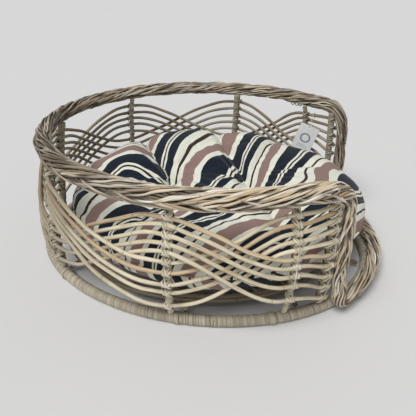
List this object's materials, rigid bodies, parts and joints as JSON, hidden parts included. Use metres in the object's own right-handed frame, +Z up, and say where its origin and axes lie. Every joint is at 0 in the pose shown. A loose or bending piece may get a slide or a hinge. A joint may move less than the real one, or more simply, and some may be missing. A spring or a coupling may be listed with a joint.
{
  "type": "wicker pet bed basket",
  "caption": "Oval rattan pet bed basket with open wave-rod walls, a braided rim that runs round a low front entrance, a slatted floor and a loose tufted striped cushion.",
  "frame": {"origin": "on the floor, under the middle of the bounding box", "axes": "+Z up, +X along the long axis toward the entrance, -Y the near long side"},
  "size_m": [0.632, 0.5125, 0.2473],
  "materials": {
    "bare_pole": "satin",
    "peel_binding": "satin",
    "seat_frame": "satin",
    "floor_slat": "matte",
    "rim_braid": "satin",
    "entrance_braid": "satin",
    "jamb_pole": "satin",
    "stake": "satin",
    "wave_rod": "satin",
    "peel_tie": "satin",
    "cushion_fabric": "matte",
    "fibre_filling": "matte",
    "tuft_thread": "matte",
    "tag_card": "matte",
    "tag_string": "matte"
  },
  "bodies": {
    "basket": {"foot_ring_pole": "bare_pole", "foot_ring_binding": "peel_binding", "seat_ring_lower": "seat_frame", "seat_ring_upper": "seat_frame", "seat_ring_pegs": "seat_frame", "peg_lashings": "peel_tie", "floor_slat_1": "floor_slat", "floor_slat_2": "floor_slat", "floor_slat_3": "floor_slat", "floor_slat_4": "floor_slat", "floor_slat_5": "floor_slat", "floor_slat_6": "floor_slat", "floor_slat_7": "floor_slat", "floor_slat_8": "floor_slat", "floor_slat_9": "floor_slat", "rim_pole": "bare_pole", "rim_braid": "rim_braid", "entrance_braid": "entrance_braid", "near_jamb_pole": "jamb_pole", "far_jamb_pole": "jamb_pole", "near_entrance_stake": "stake", "near_side_stake": "stake", "near_end_stake": "stake", "end_stake": "stake", "far_end_stake": "stake", "far_side_stake": "stake", "far_entrance_stake": "stake", "wave_a_rod_1": "wave_rod", "wave_a_rod_2": "wave_rod", "wave_a_rod_3": "wave_rod", "wave_a_rod_4": "wave_rod", "wave_a_rod_5": "wave_rod", "wave_b_rod_1": "wave_rod", "wave_b_rod_2": "wave_rod", "wave_b_rod_3": "wave_rod", "wave_b_rod_4": "wave_rod", "wave_b_rod_5": "wave_rod", "near_jamb_lashings": "peel_tie", "near_entrance_lashings": "peel_tie", "near_side_lashings": "peel_tie", "near_end_lashings": "peel_tie", "end_lashings": "peel_tie", "far_end_lashings": "peel_tie", "far_side_lashings": "peel_tie", "far_entrance_lashings": "peel_tie", "far_jamb_lashings": "peel_tie", "foot_lashings": "peel_tie"},
    "cushion": {"cushion_top_panel": "cushion_fabric", "cushion_bottom_panel": "cushion_fabric", "cushion_filling": "fibre_filling", "cushion_tuft_ties": "tuft_thread"},
    "hang_tag": {"hang_tag": "tag_card", "tag_string": "tag_string"}
  },
  "joints": [
    {"name": "cushion_lift", "type": "slide", "parent": "basket", "child": "cushion", "axis": [0, 0, 1], "range_m": [0, 0.4]},
    {"name": "tag_swing", "type": "hinge", "parent": "basket", "child": "hang_tag", "pos_m": [0.17698, 0.19382, 0.19403], "axis": [-0.8401, 0.5425, 0], "range_deg": [0, 22]}
  ]
}
